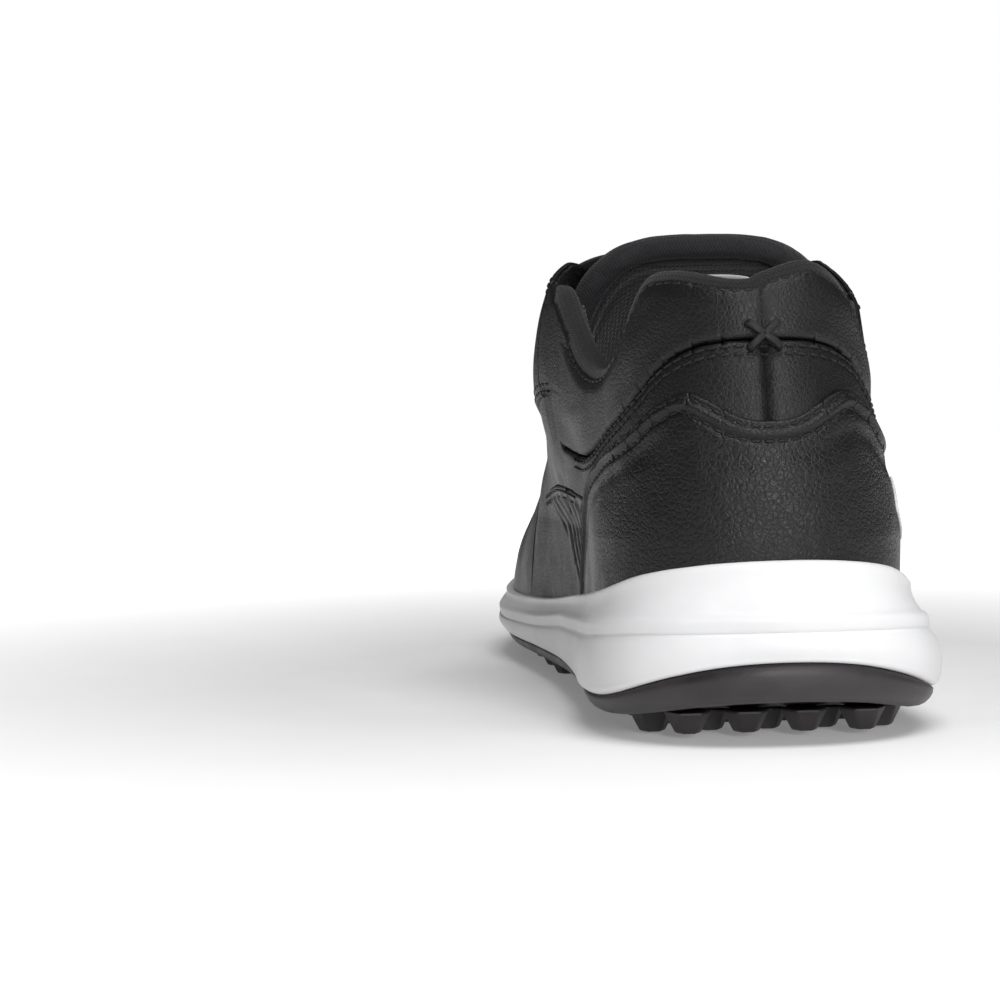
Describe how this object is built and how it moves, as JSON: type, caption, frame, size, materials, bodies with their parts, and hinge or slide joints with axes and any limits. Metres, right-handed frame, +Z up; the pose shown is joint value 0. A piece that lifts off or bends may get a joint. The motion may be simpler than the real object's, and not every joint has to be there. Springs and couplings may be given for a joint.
{
  "type": "golf shoe",
  "caption": "Right-foot spikeless golf shoe: black leather upper with padded collar and tongue, white moulded midsole, dark lugged rubber outsole.",
  "frame": {"origin": "on the ground, at the middle of the shoe's length and width", "axes": "+Y from heel to toe along the shoe, +Z up, +X to the wearer's right, which is the outer side of this right shoe"},
  "size_m": [0.1061, 0.302, 0.1234],
  "materials": {
    "white_eva": "satin moulded EVA foam",
    "black_rubber": "satin moulded rubber",
    "board": "matt fibre board",
    "grey_foam": "matt open-cell foam",
    "insole_knit": "matt knitted cloth",
    "lining_mesh": "matt spacer mesh",
    "stiffener": "matt thermoplastic sheet",
    "black_leather": "semi-gloss tumbled grain",
    "black_knit": "matt knitted tape",
    "white_cloth": "matt woven satin tape",
    "black_cord": "matt braid",
    "white_print": "satin raised print"
  },
  "bodies": {
    "shoe": {"midsole": "white_eva", "outsole": "black_rubber", "strobel_board": "board", "collar_lining": "lining_mesh", "vamp_lining": "lining_mesh", "heel_counter": "stiffener", "collar_foam": "grey_foam", "toe_puff": "stiffener", "eyestay_backing_inner": "stiffener", "eyestay_backing_outer": "stiffener", "vamp": "black_leather", "quarter_inner": "black_leather", "quarter_outer": "black_leather", "collar_panel_inner": "black_leather", "collar_panel_outer": "black_leather", "collar_binding": "black_knit", "heel_panel": "black_leather", "side_panel_inner": "black_leather", "side_panel_outer": "black_leather", "eyestay_inner": "black_leather", "eyestay_outer": "black_leather", "lace": "black_cord", "cross_stitch": "black_cord", "heel_emblem": "white_print"},
    "tongue": {"tongue_outer": "black_leather", "tongue_foam": "grey_foam", "tongue_lining": "lining_mesh", "tongue_rim": "black_knit", "tongue_label": "white_cloth"},
    "insole": {"insole_foam": "grey_foam", "insole_cloth": "insole_knit"}
  },
  "joints": [
    {"name": "tongue_bend", "type": "hinge", "parent": "shoe", "child": "tongue", "pos_m": [0, 0.037, 0.0685], "axis": [1, 0, 0], "range_deg": [0, 6], "stiffness_Nm_per_rad": 0.15},
    {"name": "insole_lift", "type": "hinge", "parent": "shoe", "child": "insole", "pos_m": [-0.004, 0.138, 0.0205], "axis": [-1, 0, 0], "range_deg": [0, 3]}
  ]
}
